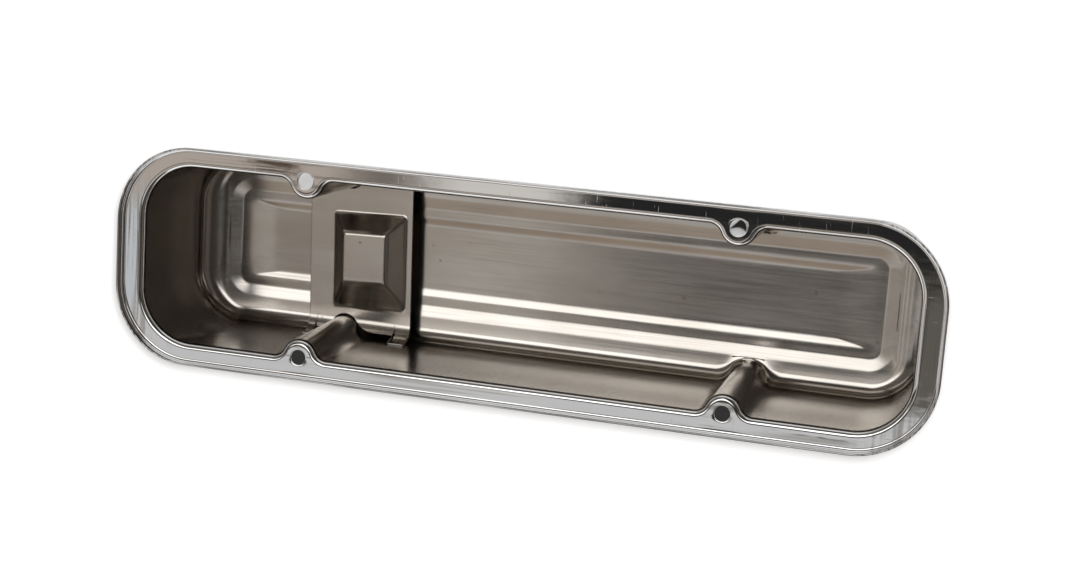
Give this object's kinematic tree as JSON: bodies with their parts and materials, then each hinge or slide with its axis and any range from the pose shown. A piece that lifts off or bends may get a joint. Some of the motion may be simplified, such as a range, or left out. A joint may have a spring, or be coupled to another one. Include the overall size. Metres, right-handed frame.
{
  "type": "engine valve cover",
  "caption": "Deep-drawn steel valve cover, lipped flange with bolt bosses, stepped roof and a welded oil baffle; closes the top of a cylinder head.",
  "frame": {"origin": "centre of the roof's flat, on which the cover lies, at the bottom of the bounding box", "axes": "+X along the cover's length, away from the baffle's end, +Y across it, +Z out of the open side towards the cylinder head"},
  "size_m": [0.451, 0.121, 0.0865],
  "materials": {
    "chrome_plate": "bright plate on the flange and outside, satin inside",
    "satin_steel": "satin plated sheet with a fine grain"
  },
  "bodies": {
    "root": {"cover_shell": "chrome_plate", "oil_baffle": "satin_steel"}
  },
  "joints": []
}
